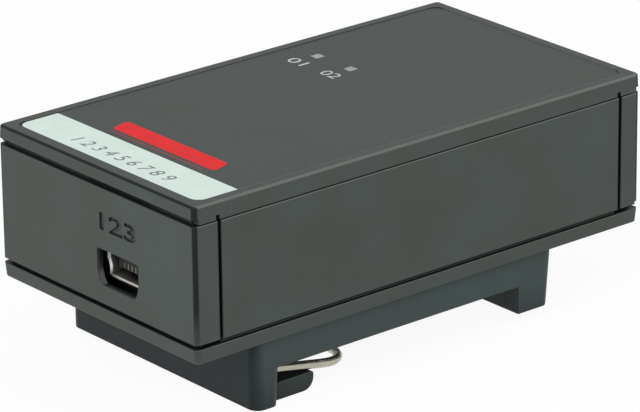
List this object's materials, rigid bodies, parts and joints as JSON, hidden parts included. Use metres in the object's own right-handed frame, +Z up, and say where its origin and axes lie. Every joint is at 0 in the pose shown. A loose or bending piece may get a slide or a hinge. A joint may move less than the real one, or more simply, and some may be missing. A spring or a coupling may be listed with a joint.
{
  "type": "USB to serial adapter module",
  "caption": "Small black box with a USB socket at one end, a serial plug at the other, and a sprung rail holder underneath.",
  "frame": {"origin": "middle of the bounding box, on the plane under the rail holder's front block", "axes": "+X along the box from the USB end to the serial end, +Y across it, +Z up through the lid"},
  "size_m": [0.0825, 0.042, 0.0314],
  "materials": {
    "black_abs": "fine moulded texture, satin",
    "holder_plastic": "smooth moulded, semi-gloss",
    "film_dark": "fine matt film with a pale printed band",
    "clear_plastic": "cloudy clear moulding",
    "board_green": "solder mask",
    "black_resin": "moulded resin",
    "tinned_steel": "bright tin plate",
    "zinc_steel": "zinc or nickel plate",
    "spring_steel": "bright drawn wire",
    "gold_plate": "gold-coloured plate",
    "can_aluminium": "satin can",
    "ceramic_tan": "ceramic body",
    "ferrite_grey": "sintered grey",
    "led_white": "white lamp body"
  },
  "bodies": {
    "root": {"bottom_cover": "black_abs", "top_cover": "black_abs", "front_panel": "black_abs", "rear_panel": "black_abs", "rail_holder": "holder_plastic", "label_film": "film_dark", "light_pipe_1": "clear_plastic", "light_pipe_2": "clear_plastic", "circuit_board": "board_green", "usb_insulator": "black_resin", "serial_insulator": "black_resin", "usb_bridge_chip": "black_resin", "line_driver_chip": "black_resin", "resistor_1": "black_resin", "resistor_2": "black_resin", "resistor_3": "black_resin", "usb_shell": "tinned_steel", "serial_shell": "zinc_steel", "plug_bracket_1": "zinc_steel", "plug_bracket_2": "zinc_steel", "jack_screw_1": "zinc_steel", "jack_screw_2": "zinc_steel", "case_screw_1": "zinc_steel", "case_screw_2": "zinc_steel", "case_screw_3": "zinc_steel", "case_screw_4": "zinc_steel", "holder_screw_1": "zinc_steel", "holder_screw_2": "zinc_steel", "spring_wire": "spring_steel", "usb_contact_1": "gold_plate", "usb_contact_2": "gold_plate", "usb_contact_3": "gold_plate", "usb_contact_4": "gold_plate", "usb_contact_5": "gold_plate", "serial_pin_1": "gold_plate", "serial_pin_2": "gold_plate", "serial_pin_3": "gold_plate", "serial_pin_4": "gold_plate", "serial_pin_5": "gold_plate", "serial_pin_6": "gold_plate", "serial_pin_7": "gold_plate", "serial_pin_8": "gold_plate", "serial_pin_9": "gold_plate", "electrolytic_capacitor_1": "can_aluminium", "electrolytic_capacitor_2": "can_aluminium", "crystal": "can_aluminium", "ceramic_capacitor_1": "ceramic_tan", "ceramic_capacitor_2": "ceramic_tan", "ceramic_capacitor_3": "ceramic_tan", "ceramic_capacitor_4": "ceramic_tan", "ferrite_bead": "ferrite_grey", "led_1": "led_white", "led_2": "led_white"}
  },
  "joints": []
}
